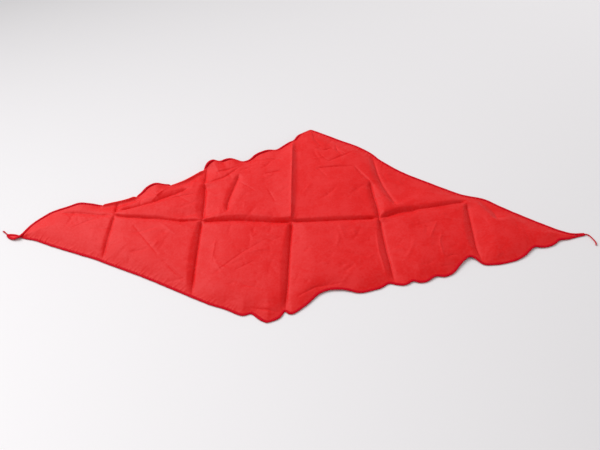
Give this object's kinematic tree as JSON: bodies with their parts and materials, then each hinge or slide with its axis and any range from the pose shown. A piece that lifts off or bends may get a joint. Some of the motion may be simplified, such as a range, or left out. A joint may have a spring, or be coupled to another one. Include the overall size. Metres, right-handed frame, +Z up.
{
  "type": "diamond silk scarf",
  "caption": "Diamond-cut sheet of thin red silk with a narrow rolled overlock hem, two straight edges and two rippled ones, laid flat with packing creases.",
  "frame": {"origin": "on the surface that the scarf lies on, under the middle of its whole box", "axes": "+X along the long diagonal, towards the plain sharp corner and away from the twisted one; +Y across, towards the far blunt corner; +Z up"},
  "size_m": [0.6466, 0.3122, 0.0095],
  "materials": {
    "silk": "satin",
    "hem_thread": "satin",
    "needle_thread": "satin",
    "looper_thread": "satin"
  },
  "bodies": {
    "root": {"silk_panel": "silk", "upper_left_hem": "hem_thread", "upper_right_hem": "hem_thread", "lower_right_hem": "hem_thread", "lower_left_hem": "hem_thread", "upper_left_needle_thread": "needle_thread", "upper_right_needle_thread": "needle_thread", "lower_right_needle_thread": "needle_thread", "lower_left_needle_thread": "needle_thread", "upper_left_looper_thread": "looper_thread", "upper_right_looper_thread": "looper_thread", "lower_right_looper_thread": "looper_thread", "lower_left_looper_thread": "looper_thread", "left_thread_tail": "hem_thread", "right_thread_tail": "hem_thread"}
  },
  "joints": []
}
